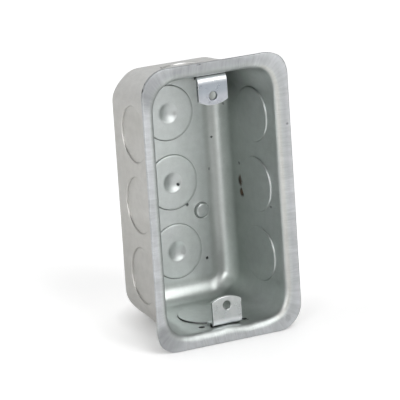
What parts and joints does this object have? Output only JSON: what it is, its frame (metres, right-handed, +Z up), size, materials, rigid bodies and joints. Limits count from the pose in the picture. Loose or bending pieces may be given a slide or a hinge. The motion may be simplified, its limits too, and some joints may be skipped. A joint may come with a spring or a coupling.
{
  "type": "junction box",
  "caption": "Deep-drawn rectangular steel junction box with rounded corners, a flat front flange, round knockouts and bent ears for a wiring device.",
  "frame": {"origin": "midway between the two device screw holes, in the plane of the ears' front faces", "axes": "+Z up along the long side, -Y out of the opening, +Y towards the back, +X to the right seen from the front"},
  "size_m": [0.0632, 0.046, 0.1112],
  "materials": {
    "galvanised_steel": "dull galvanised sheet with drawing marks",
    "zinc_plated_steel": "bright zinc plate"
  },
  "bodies": {
    "root": {"box_shell": "galvanised_steel", "upper_device_ear": "zinc_plated_steel", "lower_device_ear": "zinc_plated_steel"}
  },
  "joints": []
}
